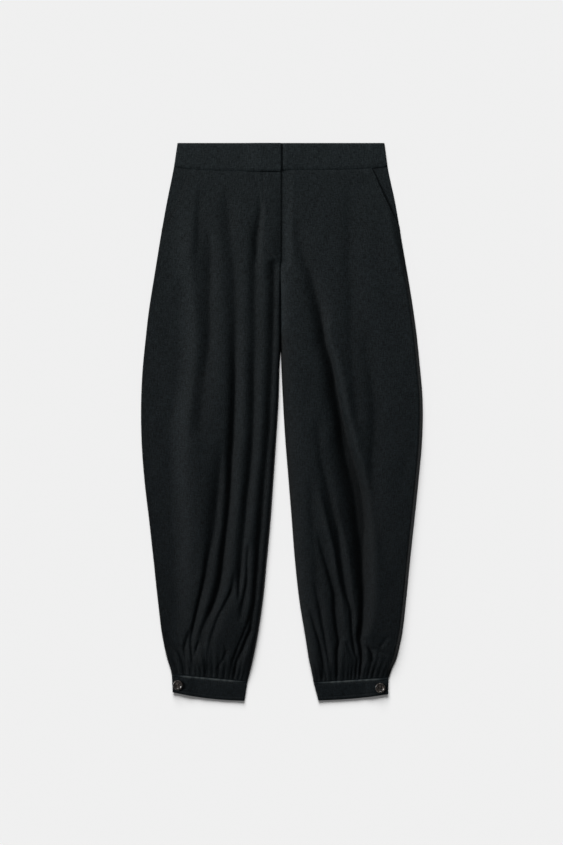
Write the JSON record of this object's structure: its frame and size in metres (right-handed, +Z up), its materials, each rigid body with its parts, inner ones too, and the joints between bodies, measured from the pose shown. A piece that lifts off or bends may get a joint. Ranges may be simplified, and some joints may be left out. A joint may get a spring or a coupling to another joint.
{
  "type": "balloon trousers laid flat",
  "caption": "Trousers with full legs gathered into buttoned cuffs, slanted pockets and a lapped waistband, laid flat on their back.",
  "frame": {"origin": "centre of the footprint, on the surface that the trousers lie on", "axes": "+X towards the wearer's left, +Y towards the waist, +Z up out of the front of the garment"},
  "size_m": [0.5099, 1.012, 0.0113],
  "materials": {
    "cloth": "matt near-black linen blend with a fine slubbed weave",
    "button": "glossy dark horn-like resin"
  },
  "bodies": {
    "root": {"front_panel_r": "cloth", "front_panel_l": "cloth", "back_panel_r": "cloth", "back_panel_l": "cloth", "pocket_side_r": "cloth", "pocket_side_l": "cloth", "waistband_front_r": "cloth", "waistband_front_l": "cloth", "waistband_back": "cloth", "cuff_r": "cloth", "cuff_l": "cloth", "button_r": "button", "button_l": "button"}
  },
  "joints": []
}
